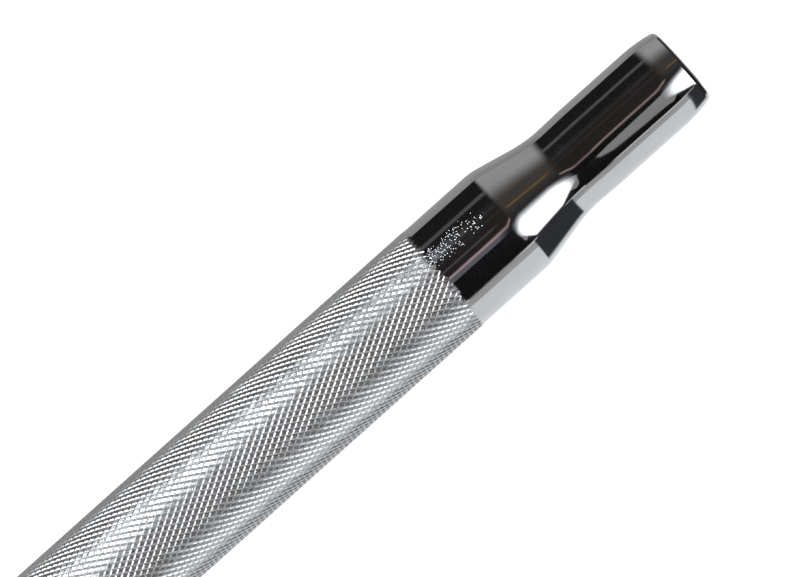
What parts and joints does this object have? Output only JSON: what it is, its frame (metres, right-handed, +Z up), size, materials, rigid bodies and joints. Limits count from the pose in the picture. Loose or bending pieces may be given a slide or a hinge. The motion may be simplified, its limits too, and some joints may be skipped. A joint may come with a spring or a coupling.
{
  "type": "pocket scriber",
  "caption": "Pocket scriber for marking metal: a knurled chrome handle with a drawn-in blunt rear end, a collet chuck with a hexagonal collar, and a sliding needle with a hard tip.",
  "frame": {"origin": "centre of the bottom of the bounding box, on the surface that the tool lies on", "axes": "+X along the tool from the needle's point to the blunt rear end; +Z up, out of the chuck hexagon's upper flat; +Y across the hexagon's corners"},
  "size_m": [0.152, 0.0128, 0.011],
  "materials": {
    "handle_chrome": "bright plated, finely knurled grip",
    "plug_steel": "bright plated",
    "bush_chrome": "bright plated",
    "spring_steel": "drawn wire",
    "collet_steel": "hardened, dark",
    "cap_chrome": "bright plated, fluted grip",
    "needle_steel": "hardened and ground",
    "carbide": "ground hard metal, dark grey"
  },
  "bodies": {
    "handle": {"handle_tube": "handle_chrome", "end_plug": "plug_steel", "chuck_bush": "bush_chrome", "collet_spring": "spring_steel"},
    "collet": {"collet": "collet_steel"},
    "cap": {"chuck_cap": "cap_chrome"},
    "needle": {"needle_shank": "needle_steel", "carbide_tip": "carbide"}
  },
  "joints": [
    {"name": "collet_slide", "type": "slide", "parent": "handle", "child": "collet", "axis": [-1, 0, 0], "range_m": [0, 0.00112], "deforming": ["collet_spring"]},
    {"name": "cap_turn", "type": "hinge", "parent": "collet", "child": "cap", "pos_m": [-0.0375, 0, 0.0055], "axis": [-1, 0, 0], "range_deg": [0, 540]},
    {"name": "needle_slide", "type": "slide", "parent": "collet", "child": "needle", "axis": [1, 0, 0], "range_m": [-0.008, 0.0315]}
  ],
  "couplings": [
    {"joint": "cap_turn", "follows": "collet_slide", "rad_per_m": 8377.6}
  ]
}
